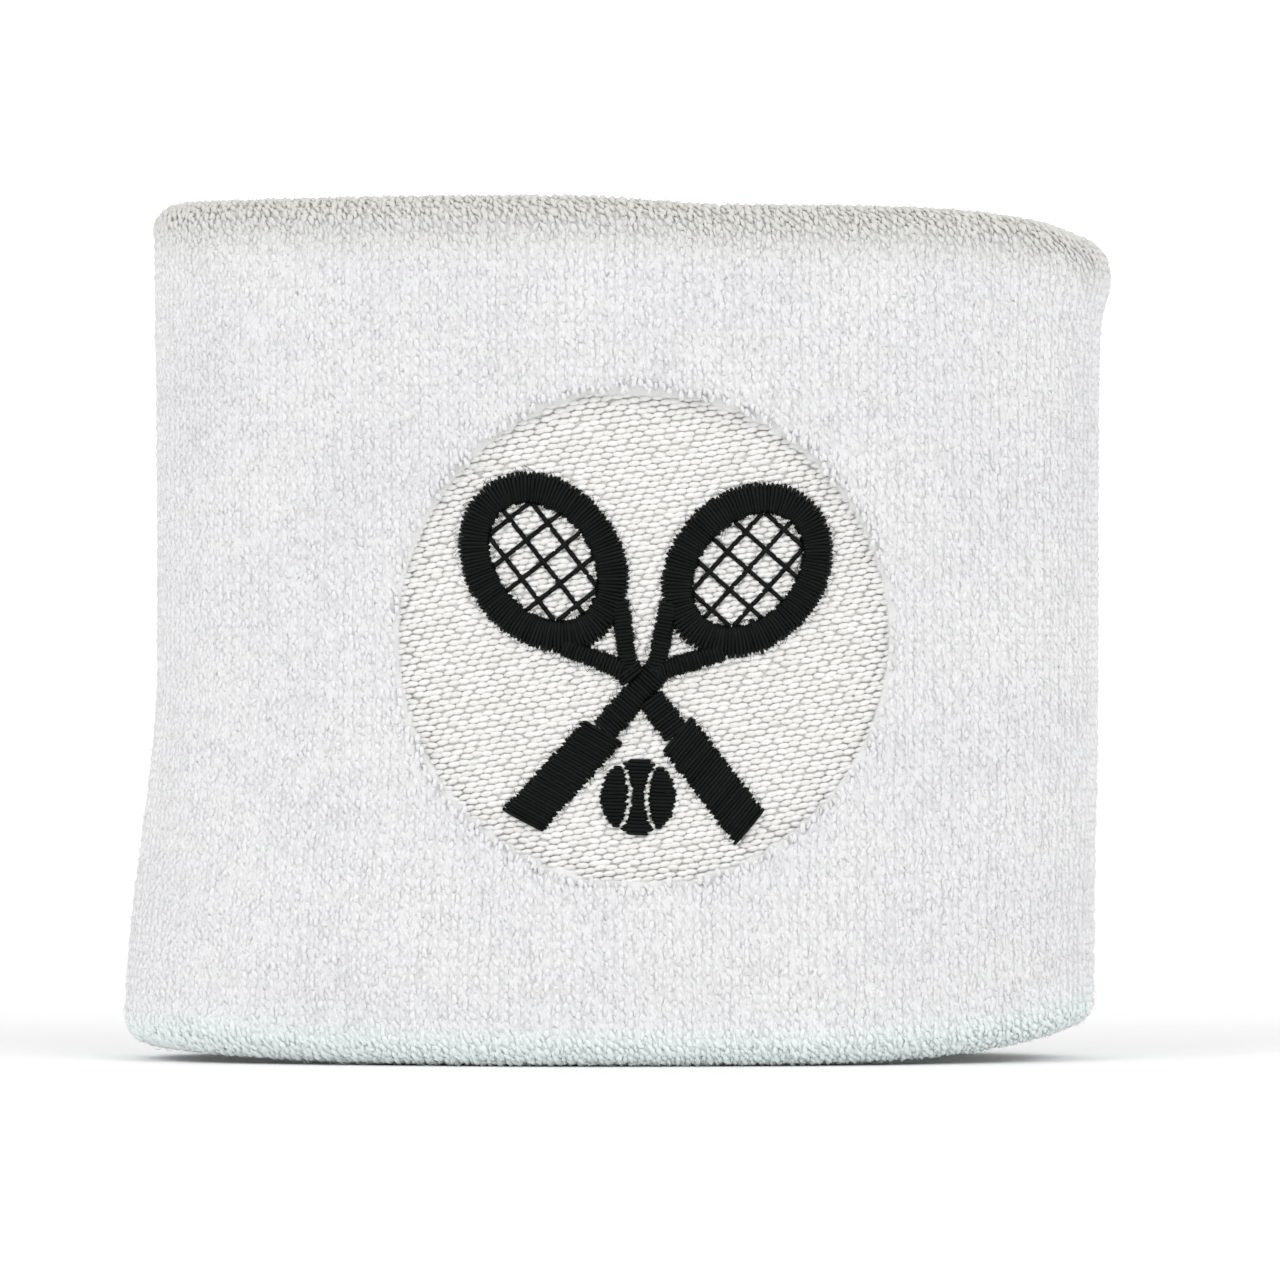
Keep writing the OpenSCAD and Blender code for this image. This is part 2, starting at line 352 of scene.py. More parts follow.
def make_piece(name, points, faces, shade, material, nodes=()):
    """A smooth-shaded piece from points of the ideal band, set where the soft band has them."""
    heights = points[:, 2]
    points = relax(points)
    mesh = bpy.data.meshes.new(name)
    corners = np.concatenate([f.ravel() for f in faces]).astype(np.int32)
    sizes = np.concatenate([np.full(len(f), f.shape[1]) for f in faces])
    mesh.vertices.add(len(points))
    mesh.vertices.foreach_set("co", points.astype(np.float32).ravel())
    mesh.loops.add(len(corners))
    mesh.loops.foreach_set("vertex_index", corners)
    mesh.polygons.add(len(sizes))
    mesh.polygons.foreach_set("loop_start", (np.cumsum(sizes) - sizes).astype(np.int32))
    mesh.polygons.foreach_set("use_smooth", np.ones(len(sizes), bool))
    for word, values in (("shade", shade), ("level", heights)):
        layer = mesh.attributes.new(word, "FLOAT", "POINT")
        layer.data.foreach_set("value", values.astype(np.float32))
    mesh.update(calc_edges=True)
    mesh.materials.append(material)
    piece = bpy.data.objects.new(name, mesh)
    bpy.context.scene.collection.objects.link(piece)
    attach(piece, "root")
    if nodes:
        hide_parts(*nodes)
    return piece


def unit(v):
    """The same directions with length 1."""
    return v / np.maximum(np.linalg.norm(v, axis=-1, keepdims=True), 1e-12)


def ring_faces(index):
    """The quads between rings of points, each ring closed on itself."""
    after = np.roll(index, -1, axis=1)
    return np.stack([index[:-1], index[1:], after[1:], after[:-1]], -1).reshape(-1, 4)


def tubes(paths, radii, side, sides):
    """Closed tubes along paths (n, k, 3), with radii (n, k), turned to face directions (n, 3)."""
    n, k = paths.shape[:2]
    heading = unit(np.gradient(paths, axis=1))
    first = side[:, None, :] - (side[:, None, :] * heading).sum(-1, keepdims=True) * heading
    first = unit(first)
    second = np.cross(heading, first)
    turn = 2 * np.pi * np.arange(sides) / sides
    ring = first[..., None, :] * np.cos(turn)[:, None]
    ring = ring + second[..., None, :] * np.sin(turn)[:, None]
    points = paths[..., None, :] + radii[..., None, None] * ring
    index = np.arange(n * k * sides).reshape(n, k, sides)
    after = np.roll(index, -1, axis=2)
    walls = np.stack([index[:, :-1], after[:, :-1], after[:, 1:], index[:, 1:]], -1).reshape(-1, 4)
    ends = np.concatenate([index[:, 0, ::-1], index[:, -1]])
    shade = np.repeat(rng.random(n), k * sides)
    return points.reshape(-1, 3), [walls, ends], shade


def join(parts):
    """One set of points, faces and shades from several."""
    points, faces, shades, first = [], [], [], 0
    for p, f, s in parts:
        points.append(p)
        faces += [g + first for g in f]
        shades.append(s)
        first += len(p)
    return np.concatenate(points), faces, np.concatenate(shades)


# ---- materials ----


def material_nodes(name):
    """A new material, with its nodes, its links and its shader."""
    material = bpy.data.materials.new(name)
    material.use_nodes = True
    nodes = material.node_tree.nodes
    return material, nodes, material.node_tree.links, nodes["Principled BSDF"]


def noise(nodes, links, scale, detail=3.0):
    """Noise fixed to the object, its scale in repeats a metre."""
    place = nodes.new("ShaderNodeTexCoord")
    texture = nodes.new("ShaderNodeTexNoise")
    texture.inputs["Scale"].default_value = scale
    texture.inputs["Detail"].default_value = detail
    links.new(place.outputs["Object"], texture.inputs["Vector"])
    return texture.outputs["Fac"]


def ramp(nodes, links, value, stops):
    """A colour for each value, from stops of a value and its colour."""
    node = nodes.new("ShaderNodeValToRGB")
    elements = node.color_ramp.elements
    while len(elements) < len(stops):
        elements.new(0.5)
    for element, (place, colour) in zip(elements, stops):
        element.position = place
        element.color = (*colour, 1)
    links.new(value, node.inputs["Fac"])
    return node.outputs["Color"]


def mix(nodes, links, a, b, factor, blend="MIX"):
    """Two colours mixed. Each input is a socket or a plain value."""
    node = nodes.new("ShaderNodeMix")
    node.data_type = "RGBA"
    node.blend_type = blend
    for socket, value in ((node.inputs["A"], a), (node.inputs["B"], b)):
        if hasattr(value, "links"):
            links.new(value, socket)
        else:
            socket.default_value = (*value, 1)
    if hasattr(factor, "links"):
        links.new(factor, node.inputs["Factor"])
    else:
        node.inputs["Factor"].default_value = factor
    return [s for s in node.outputs if s.type == "RGBA"][0]


def bump(nodes, links, shader, height, strength, distance):
    """Fine relief on the shader's surface."""
    node = nodes.new("ShaderNodeBump")
    node.inputs["Strength"].default_value = strength
    node.inputs["Distance"].default_value = distance
    links.new(height, node.inputs["Height"])
    links.new(node.outputs["Normal"], shader.inputs["Normal"])


def attribute(nodes, word):
    """A number stored at each point: its stitch's shade, or its level up the ideal band."""
    node = nodes.new("ShaderNodeAttribute")
    node.attribute_name = word
    return node.outputs["Fac"]


def level_band(nodes, links, low, high):
    """0 at one level up the band, 1 at another."""
    node = nodes.new("ShaderNodeMapRange")
    node.interpolation_type = "SMOOTHSTEP"
    node.inputs["From Min"].default_value = low
    node.inputs["From Max"].default_value = high
    links.new(attribute(nodes, "level"), node.inputs["Value"])
    return node.outputs["Result"]


# The warm grey of the upper edge is painted shade, standing in for the shade on the rolled top of
# the band.
RIM_PAINTED_SHADE, RIM_FROM, RIM_TO = (0.69, 0.685, 0.645), HEIGHT - 6.5 * MM, HEIGHT + 0.2 * MM
FOOT_TINT, FOOT_FROM, FOOT_TO = (0.82, 0.89, 0.88), 5.5 * MM, 0.5 * MM


def terry_material(name, white, shadow):
    """Cotton yarn: white with faint grey loops, a warm grey upper edge of painted shade, a cool
    lower edge.
    """
    material, nodes, links, shader = material_nodes(name)
    shades = [(0.0, shadow), (0.45, white), (1.0, white)]
    base = ramp(nodes, links, attribute(nodes, "shade"), shades)
    clouds = [(0.3, (0.95, 0.95, 0.96)), (0.7, (1, 1, 1))]
    cloud = ramp(nodes, links, noise(nodes, links, 90), clouds)
    base = mix(nodes, links, base, cloud, 1.0, "MULTIPLY")
    # Painted shade: the upper edge turns warm grey towards its top.
    base = mix(nodes, links, base, RIM_PAINTED_SHADE, level_band(nodes, links, RIM_FROM, RIM_TO))
    base = mix(nodes, links, base, FOOT_TINT, level_band(nodes, links, FOOT_FROM, FOOT_TO))
    links.new(base, shader.inputs["Base Color"])
    shader.inputs["Roughness"].default_value = 0.95
    shader.inputs["Specular IOR Level"].default_value = 0.2
    shader.inputs["Sheen Weight"].default_value = 0.8
    shader.inputs["Sheen Roughness"].default_value = 0.35
    bump(nodes, links, shader, noise(nodes, links, 9000), 0.15, 0.05 * MM)
    return material


def thread_material(name, dark, light, roughness, sheen, gloss=0.4):
    """Embroidery thread: each stitch a little lighter or darker, its fine filaments as bump."""
    material, nodes, links, shader = material_nodes(name)
    base = ramp(nodes, links, attribute(nodes, "shade"), [(0.0, dark), (1.0, light)])
    links.new(base, shader.inputs["Base Color"])
    shader.inputs["Roughness"].default_value = roughness
    shader.inputs["Specular IOR Level"].default_value = gloss
    shader.inputs["Sheen Weight"].default_value = sheen
    bump(nodes, links, shader, noise(nodes, links, 14000, 1.0), 0.4, 0.03 * MM)
    return material


TERRY = terry_material("terry_cotton", (0.85, 0.849, 0.856), (0.80, 0.80, 0.805))
LINING = terry_material("terry_lining", (0.84, 0.84, 0.84), (0.79, 0.79, 0.79))
GROUND = terry_material("knit_ground", (0.80, 0.80, 0.80), (0.74, 0.74, 0.74))
CREAM = thread_material(
    "cream_thread", (0.80, 0.795, 0.77), (0.88, 0.875, 0.855), roughness=0.42, sheen=0.3
)
BLACK = thread_material(
    "black_thread", (0.002, 0.0025, 0.0025), (0.005, 0.0065, 0.006),
    roughness=0.5, sheen=0.0, gloss=0.12,
)
SEAM = thread_material(
    "seam_thread", (0.78, 0.78, 0.77), (0.9, 0.9, 0.89), roughness=0.7, sheen=0.3
)
ELASTIC = thread_material(
    "elastic_cover", (0.78, 0.75, 0.68), (0.9, 0.88, 0.82), roughness=0.6, sheen=0.2
)
FLEECE = thread_material(
    "backing_fleece", (0.86, 0.86, 0.85), (0.94, 0.94, 0.93), roughness=0.9, sheen=0.2
)
BOBBIN = thread_material(
    "bobbin_thread", (0.84, 0.84, 0.83), (0.95, 0.95, 0.94), roughness=0.45, sheen=0.2
)


# ---- terry: the ground cloth and its pile of loops ----


def press(point, outward):
    """Presses the cloth down under the emblem."""
    depth = (-PILE - POCKET) + 0.1 * MM
    amount = smooth(-disc_distance(point) / (1.0 * MM) - 0.3)
    return point - outward * (depth * amount)[..., None]


def ground_cloth(name, start, end, nodes):
    """A closed, thin shell of knit along a stretch of the wall's path."""
    columns = GROUND_COLUMNS
    rows = max(int((end - start) / GROUND_STEP), 4)
    along = np.linspace(0, ROUND, columns, endpoint=False)[:, None] + np.zeros(rows)
    down = np.zeros((columns, 1)) + np.linspace(start, end, rows)
    point, outward = on_knit(along, down)[:2]
    front = press(point + outward * GROUND_RISE, outward)
    back = press(point - outward * GROUND_T, outward)
    grid = np.concatenate([front, back[:, ::-1]], 1)
    faces = torus_faces(columns, 2 * rows)
    shade = rng.random(columns * 2 * rows)
    return make_piece(name, grid.reshape(-1, 3), [faces], shade, GROUND, nodes)


def loop_places(start, end, course):
    """Where loops stand along a stretch of the path: one for each wale and course."""
    wales = round(ROUND / WALE)
    courses = max(round((end - start) / course), 1)
    along = (np.arange(wales) + 0.5) * ROUND / wales
    down = start + (np.arange(courses) + 0.5) * (end - start) / courses
    along, down = (g.ravel() for g in np.meshgrid(along, down, indexing="ij"))
    return along, down


def near_roll(down, roll_start):
    """1 over the middle of a roll, fading to 0 on the walls beside it."""
    return smooth(ROLL_FADE - np.abs(down - roll_start - ROLL / 2) / (ROLL / 2))


def loops(along, down, tall, yarn, sides, steps):
    """Bent tubes of yarn rooted in the ground cloth. They lean and stand up more on the rolls."""
    upper, lower = near_roll(down, UPPER_ROLL), near_roll(down, LOWER_ROLL)
    lean = WALL_LEAN + (ROLL_LEAN - WALL_LEAN) * (upper + lower)
    tall = tall * (1 + UPPER_TALLER * upper + LOWER_TALLER * lower)
    along = along + rng.normal(0, PLACE_SPREAD[0], along.size)
    down = down + rng.normal(0, PLACE_SPREAD[1], down.size)
    point, outward, across, lengthwise = on_knit(along, down)
    away = disc_distance(point)
    kept = away > rng.normal(EMBLEM_EDGE, EDGE_SPREAD, away.size)
    point, outward, across, lengthwise = (a[kept] for a in (point, outward, across, lengthwise))
    lean, tall = lean[kept], tall[kept]
    n = len(point)
    height = (PILE - yarn) * tall * np.clip(rng.normal(1.0, 0.10, n), 0.6, 1.25)
    half_span = LOOP_HALF_SPAN * rng.normal(1, 0.15, n)
    spin = rng.normal(lean, LEAN_SPREAD, n)
    run = lengthwise * np.cos(spin)[:, None] + across * np.sin(spin)[:, None]
    cross = np.cross(outward, run)
    droop = lengthwise * rng.normal(0, DROOP_SPREAD[0], n)[:, None]
    droop = droop + across * rng.normal(0, DROOP_SPREAD[1], n)[:, None]
    turn = np.linspace(0, math.pi, steps + 1)
    rise = np.sin(turn)
    path = point[:, None, :] + run[:, None, :] * (-np.cos(turn) * half_span[:, None])[..., None]
    path = path + outward[:, None, :] * (rise * height[:, None])[..., None]
    path = path + droop[:, None, :] * (rise**2)[None, :, None]
    thickness = yarn * np.clip(rng.normal(1, 0.1, n), 0.7, 1.3)[:, None] * (0.8 + 0.2 * rise)
    return tubes(path, thickness, cross, sides)


def pile(name, start, end, material, course=COURSE):
    """The loops of one stretch: a full loop for each stitch, and lower ones filling in between."""
    along, down = loop_places(start, end, course)
    full = loops(along, down, 1.0, YARN_R, sides=4, steps=4)
    between = loops(
        along + WALE / 2, down + course / 2, BETWEEN_TALL, BETWEEN_R, sides=3, steps=3
    )
    points, faces, shade = join([full, between])
    return make_piece(name, points, faces, shade, material)


outer_cloth = ground_cloth(
    "outer_sleeve_ground", OUTER_FROM, OUTER_TO, ["outer_sleeve"]
)
lower_cloth = ground_cloth(
    "lower_turn_in_ground", SEAM_FROM, OUTER_FROM, ["lower_turn_in"]
)
upper_cloth = ground_cloth(
    "upper_turn_in_ground", OUTER_TO, SEAM_TO, ["upper_turn_in"]
)


def fibres(along, down, length, rise):
    """Fine cotton hairs lying loosely on the pile, from the given places."""
    n = along.size
    point, outward, across, lengthwise = on_knit(along, down)
    spin = rng.uniform(0, 2 * math.pi, n)
    run = lengthwise * np.cos(spin)[:, None] + across * np.sin(spin)[:, None]
    cross = np.cross(outward, run)
    steps = 6
    part = np.linspace(0, 1, steps)
    reach = (length * rng.uniform(0.6, 1.4, n))[:, None] * part
    bow = np.sin(math.pi * 0.8 * part)
    lift = PILE - 0.1 * MM + (rise * rng.uniform(0.3, 1.5, n))[:, None] * bow
    curl = (length * rng.normal(0, 0.35, n))[:, None] * part**2
    path = point[:, None, :] + run[:, None, :] * reach[..., None]
    path = path + outward[:, None, :] * lift[..., None] + cross[:, None, :] * curl[..., None]
    return tubes(path, np.full((n, steps), FIBRE_R), outward, 3)


def fuzz(name, start, end):
    """The hairs of one stretch, rooted outside the emblem."""
    count = int(ROUND * (end - start) * FUZZ_PER_AREA)
    along, down = rng.uniform(0, ROUND, count), rng.uniform(start, end, count)
    kept = disc_distance(on_knit(along, down)[0]) > 0
    points, faces, shade = fibres(along[kept], down[kept], FIBRE_L, FIBRE_RISE)
    return make_piece(name, points, faces, shade * 0.4 + 0.6, TERRY)


OUTER_BANDS = 7
LINING_BANDS = 3


def banded_pile(name, start, end, bands, material):
    """The pile of a long stretch, as several pieces."""
    edges = np.linspace(start, end, bands + 1)
    return [
        pile(f"{name}_{i + 1}", edges[i], edges[i + 1], material)
        for i in range(bands)
    ]


outer_piles = banded_pile(
    "outer_pile", LOWER_ROLL + ROLL, UPPER_ROLL, OUTER_BANDS, TERRY
)
outer_piles += [
    pile("lower_roll_pile", LOWER_ROLL, LOWER_ROLL + ROLL, TERRY, ROLL_COURSE),
    pile("upper_roll_pile", UPPER_ROLL, UPPER_ROLL + ROLL, TERRY, ROLL_COURSE),
    pile("lower_return_pile", OUTER_FROM, LOWER_ROLL, TERRY),
    pile("upper_return_pile", UPPER_ROLL + ROLL, OUTER_TO, TERRY),
    fuzz("outer_fuzz", LOWER_ROLL + ROLL / 2, UPPER_ROLL + ROLL / 2),
]
lower_piles = banded_pile(
    "lower_turn_in_pile", SEAM_FROM, OUTER_FROM, LINING_BANDS, LINING
)
upper_piles = banded_pile(
    "upper_turn_in_pile", OUTER_TO, SEAM_TO, LINING_BANDS, LINING
)


# ---- threads inside the wall ----


def ring_tube(name, offset, height, radius, material, nodes, sides=8, steps=200):
    """A closed ring of thread round the oval."""
    along = np.linspace(0, ROUND, steps, endpoint=False)
    flat, normal = oval(along, np.full(steps, offset))
    centre = np.concatenate([flat, np.full((steps, 1), height)], 1)
    out = np.concatenate([normal, np.zeros((steps, 1))], 1)
    up = np.array([0.0, 0.0, 1.0])
    turn = 2 * np.pi * np.arange(sides) / sides
    points = centre[:, None, :] + radius * (
        out[:, None, :] * np.cos(turn)[:, None] + up * np.sin(turn)[:, None]
    )
    faces = torus_faces(steps, sides)
    shade = np.repeat(rng.random(steps), sides)
    return make_piece(name, points.reshape(-1, 3), [faces], shade, material, nodes)


def elastic_thread(node):
    """A ring of covered yarn, where the CAD has the thread."""
    low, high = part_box(node)
    radius = (high[2] - low[2]) / 2
    offset = high[0] - radius - HALF_W
    height = (low[2] + high[2]) / 2
    ring_tube(node + "_yarn", offset, height, radius, ELASTIC, [node])


for thread in THREADS:
    elastic_thread(thread)


def stitched_ring(name, offset, low, high, pitch, radius, bow, material, nodes):
    """Upright stitches side by side round the oval, slanted and bowed out of the cloth."""
    n = int(ROUND / pitch)
    steps = 7
    part = np.linspace(-1, 1, steps)
    slant = 0.9 * pitch
    along = (np.arange(n) * ROUND / n)[:, None] + part * slant
    rise = offset + bow * (1 - part**2)
    flat, normal = oval(along, rise + np.zeros_like(along))
    height = np.zeros((n, 1)) + (low + high) / 2 + part * (high - low) / 2
    path = np.concatenate([flat, height[..., None]], -1)
    side = np.concatenate([normal[:, 3], np.zeros((n, 1))], -1)
    points, faces, shade = tubes(path, np.full((n, steps), radius), side, 5)
    return make_piece(name, points, faces, shade, material, nodes)


def closing_seam():
    """The chain of thread that joins the two ends of the tube, on the inside."""
    stitched_ring(
        "closing_seam_chain", -WALL + 0.35 * MM, SEAM_LOW[2], SEAM_HIGH[2],
        pitch=0.9 * MM, radius=0.3 * MM, bow=-0.35 * MM,
        material=SEAM, nodes=["closing_seam"],
    )


def seam_allowance():
    """The overlock stitches round the raw edges behind the seam."""
    low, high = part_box("seam_allowance")
    stitched_ring(
        "seam_allowance_overlock", -WALL + LAYER + 0.2 * MM, low[2], high[2],
        pitch=0.6 * MM, radius=0.18 * MM, bow=0.02 * MM,
        material=SEAM, nodes=["seam_allowance"],
    )


closing_seam()
seam_allowance()


# ---- embroidery ----


def face_threads(x, z, offset, radii, sides=6):
    """Tubes along paths on the front face. x, z and offset are (n, k), from the emblem's middle."""
    path, normal = on_face(x, z, offset)
    middle = path.shape[1] // 2
    return tubes(path, radii, normal[:, middle], sides)


FILL_PITCH, FILL_STITCH, FILL_SLOPE, FILL_SHIFT = 0.50 * MM, 0.98 * MM, math.radians(11), 0.37
FILL_RADIUS, FILL_SWELL = 0.17 * MM, 0.09 * MM


def fill_stitches():
    """Rows of short stitches that cover the disc, brick-laid, sloping up to the right."""
    reach = DISC_R + FILL_STITCH
    rows = np.arange(-reach, reach, FILL_PITCH)
    across = np.arange(-reach, reach, FILL_STITCH)
    v, u = np.meshgrid(rows, across, indexing="ij")
    shift = np.arange(len(rows)) * FILL_SHIFT * FILL_STITCH % FILL_STITCH
    u = u + shift[:, None]
    u = (u + rng.normal(0, 0.10 * MM, u.shape)).ravel()
    v = (v + rng.normal(0, 0.035 * MM, v.shape)).ravel()
    inside = np.hypot(u, v) < DISC_R - 0.2 * MM + rng.normal(0, 0.22 * MM, u.size)
    u, v = u[inside], v[inside]
    steps = 6
    part = np.linspace(-1, 1, steps)
    tilt = rng.normal(0, 0.10, u.size)[:, None]
    half = part * FILL_STITCH * 0.56
    uu, vv = u[:, None] + half, v[:, None] + half * tilt
    x = uu * math.cos(FILL_SLOPE) - vv * math.sin(FILL_SLOPE)
    z = uu * math.sin(FILL_SLOPE) + vv * math.cos(FILL_SLOPE)
    swell = 1 - part**2
    offset = FILL_FRONT - 0.40 * MM + 0.22 * MM * swell + np.zeros_like(x)
    radii = FILL_RADIUS + FILL_SWELL * swell + np.zeros_like(x)
    points, faces, shade = face_threads(x, z, offset, radii, 5)
    make_piece("fill_stitches", points, faces, shade, CREAM, ["filled_disc"])


def bed(name, radius, back, front, material, nodes):
    """A thin round layer under the stitches, with a soft edge, closed all round."""
    rings = np.array([0.25, 0.5, 0.7, 0.85, 0.95, 1.0])
    spokes = 96
    angle = 2 * np.pi * np.arange(spokes) / spokes
    parts = []
    x = radius * rings[:, None] * np.cos(angle)
    z = radius * rings[:, None] * np.sin(angle)
    soft = 0.4 * (front - back) * smooth((rings - 0.9) / 0.1)[:, None]
    for offset in (front - soft, back + soft):
        parts.append(on_face(x, z, offset + 0 * x)[0].reshape(-1, 3))
    for offset in (front, back):
        parts.append(on_face(np.zeros(1), np.zeros(1), np.full(1, offset))[0])
    points = np.concatenate(parts)
    count = len(rings)
    index = np.arange(count * spokes).reshape(count, spokes)
    after = np.roll(index, -1, axis=1)
    quads = ring_faces(index)
    other = count * spokes
    rim = np.stack([index[-1], index[-1] + other, after[-1] + other, after[-1]], -1)
    caps_front = np.stack([np.full(spokes, 2 * other), index[0], after[0]], -1)
    caps_back = np.stack([np.full(spokes, 2 * other + 1), after[0] + other, index[0] + other], -1)
    faces = [quads, quads[:, ::-1] + other, rim, caps_front, caps_back]
    shade = rng.random(len(points)) * 0.4
    return make_piece(name, points, faces, shade, material, nodes)


SATIN_PITCH, SATIN_R = 0.31 * MM, 0.19 * MM
SATIN_LIFT, BALL_LIFT = 0.62 * MM, 0.5 * MM


def satin(x, z, dx, dz, width, pad=SATIN_LIFT):
    """Satin stitches: threads centred on points (x, z), lying across the line along (dx, dz)."""
    steps = 9
    part = np.linspace(-1, 1, steps)
    n = len(x)
    half = (width / 2 + rng.normal(0, 0.05 * MM, n))[:, None]
    skew = rng.normal(0, 0.015, n)[:, None]
    across_x = dx[:, None] - dz[:, None] * skew
    across_z = dz[:, None] + dx[:, None] * skew
    xx = x[:, None] + part * half * across_x
    zz = z[:, None] + part * half * across_z
    arch = np.sqrt(np.maximum(1 - (part * 0.98) ** 2, 0))
    lift = (pad * rng.normal(1, 0.05, n))[:, None]
    offset = FILL_FRONT - 0.25 * MM + lift * arch
    radii = np.full((n, steps), SATIN_R) * np.where(np.abs(part) > 0.95, 0.8, 1.0)
    return face_threads(xx, zz, offset, radii, 5)


def frizz(line, width):
    """Short hairs at both ends of each satin thread of a line."""
    x, z, out_x, out_z = line
    count = len(x)
    part = np.linspace(0, 1, 4)
    parts = []
    for end in (-1, 1):
        length = rng.uniform(0.2, 0.65, count)[:, None] * MM
        ahead = end * (width / 2 - 0.1 * MM + length * part)
        aside = length * rng.normal(0, 0.7, count)[:, None] * part**2
        xx = x[:, None] + out_x[:, None] * ahead - out_z[:, None] * aside
        zz = z[:, None] + out_z[:, None] * ahead + out_x[:, None] * aside
        lift = rng.uniform(0.0, 0.3, count)[:, None] * MM
        offset = FILL_FRONT + lift * np.sin(math.pi * part)
        parts.append(face_threads(xx, zz, offset, np.full(xx.shape, FIBRE_R), 3))
    return join(parts)


def padding(line, width):
    """The padded core under a satin line, so that nothing shows between its threads."""
    x, z, across_x, across_z = line
    part = np.linspace(-1, 1, 7)
    half = 0.86 * width / 2
    xx = x[:, None] + part * half * across_x[:, None]
    zz = z[:, None] + part * half * across_z[:, None]
    arch = np.sqrt(np.maximum(1 - part**2, 0))
    top = on_face(xx, zz, FILL_FRONT - 0.3 * MM + 0.55 * MM * arch + 0 * xx)[0]
    base = on_face(xx, zz, FILL_FRONT - 0.35 * MM - 0.1 * MM * arch + 0 * xx)[0]
    ring = np.concatenate([top, base[:, -2:0:-1]], 1)
    k, m = ring.shape[:2]
    index = np.arange(k * m).reshape(k, m)
    ends = np.stack([index[0], index[-1, ::-1]])
    return ring.reshape(-1, 3), [ring_faces(index), ends], np.full(k * m, 0.2)


TILT = math.radians(40)
CROSS_DROP = 4.5 * MM
HEAD_W, HEAD_L, RIM_W = 13.6 * MM, 16.8 * MM, 2.7 * MM
HEAD_REACH = 14 * MM
SHAFT_W, THROAT_W, THROAT_ANGLE = 2.4 * MM, 1.6 * MM, math.radians(28)
GRIP_REACH, GRIP_L, GRIP_W = 15.5 * MM, 10.5 * MM, 3.8 * MM
STRING_PITCH, STRING_STITCH, STRING_R = 2.4 * MM, 1.3 * MM, 0.22 * MM
BALL_R, BALL_DROP, BALL_SEAM_W = 3.3 * MM, 14 * MM, 0.7 * MM
HEAD_FOOT = HEAD_REACH - HEAD_L / 2
ARM = (HEAD_FOOT + RIM_W) / math.cos(THROAT_ANGLE) * 0.72


def along_racket(side, x, y):
    """Turns a racket's own x and y, from the crossing to the head, into the emblem's x and z."""
    angle = -side * TILT
    turned_x = x * math.cos(angle) - y * math.sin(angle)
    turned_y = x * math.sin(angle) + y * math.cos(angle)
    return turned_x, turned_y - CROSS_DROP


def racket_line(side, x, y, dx, dy):
    """A line on a racket, with the direction across it, in the emblem's x and z."""
    px, pz = along_racket(side, x, y)
    ax, az = along_racket(side, dx, dy)
    return px, pz, ax, az + CROSS_DROP


def head_line(side):
    """The oval line along the middle of a racket's frame, with evenly spaced points."""
    wide, long = (HEAD_W - RIM_W) / 2, (HEAD_L - RIM_W) / 2
    fine = np.linspace(0, 2 * np.pi, 721)
    steps = np.hypot(np.diff(wide * np.cos(fine)), np.diff(long * np.sin(fine)))
    reach = np.concatenate([[0], np.cumsum(steps)])
    count = round(reach[-1] / SATIN_PITCH)
    angle = np.interp(np.arange(count) * reach[-1] / count, reach, fine)
    across = unit(np.stack([np.cos(angle) / wide, np.sin(angle) / long], -1))
    x, y = wide * np.cos(angle), HEAD_REACH + long * np.sin(angle)
    return racket_line(side, x, y, across[:, 0], across[:, 1])


def bar_line(side, start, end, slant=0.0):
    """A straight line between two points on a racket. slant tips the threads along it."""
    start, end = np.array(start), np.array(end)
    length = np.linalg.norm(end - start)
    count = max(int(length / SATIN_PITCH), 2)
    part = (np.arange(count) + 0.5) / count
    spot = start + part[:, None] * (end - start)
    ahead = (end - start) / length
    across = np.array([ahead[1], -ahead[0]]) + ahead * slant
    ones = np.ones(count)
    return racket_line(side, spot[:, 0], spot[:, 1], ones * across[0], ones * across[1])


def satin_piece(name, lines, widths, node):
    """A piece of satin stitching along lines, each with its padding and its loose hairs."""
    parts = []
    for line, width in zip(lines, widths):
        parts.append(padding(line, width))
        parts.append(satin(*line, width))
        parts.append(frizz(line, width))
    points, faces, shade = join(parts)
    return make_piece(name, points, faces, shade, BLACK, [node])


def closed(line):
    """The same line with its first point again at its end."""
    return tuple(np.concatenate([a, a[:1]]) for a in line)


def racket_head(side, word):
    """The oval frame of a racket."""
    satin_piece(f"{word}_head_satin", [closed(head_line(side))], [RIM_W], f"{word}_head")


def racket_grip(side, word):
    """The grip, its threads slanted like a wound tape."""
    grip = bar_line(side, (0, -GRIP_REACH), (0, GRIP_L - GRIP_REACH), 0.22)
    satin_piece(f"{word}_grip_satin", [grip], [GRIP_W], f"{word}_grip")


def racket_shaft(side, word):
    """The shaft and the throat's two arms. The left shaft is broken where the right one crosses."""
    foot = GRIP_L - GRIP_REACH
    if side > 0:
        shaft = [bar_line(side, (0, foot), (0, SHAFT_W / 2 + 0.9 * MM))]
    else:
        gap = SHAFT_W / 2 - 0.05 * MM
        shaft = [
            bar_line(side, (0, foot), (0, -gap)),
            bar_line(side, (0, gap), (0, gap + 1.0 * MM)),
        ]
    arm_x = ARM * math.sin(THROAT_ANGLE)
    arm_y = SHAFT_W / 2 + ARM * math.cos(THROAT_ANGLE)
    arms = [bar_line(side, (0, SHAFT_W / 2 + 0.6 * MM), (s * arm_x, arm_y)) for s in (-1, 1)]
    widths = [SHAFT_W] * len(shaft) + [THROAT_W] * 2
    satin_piece(f"{word}_shaft_satin", shaft + arms, widths, f"{word}_shaft")


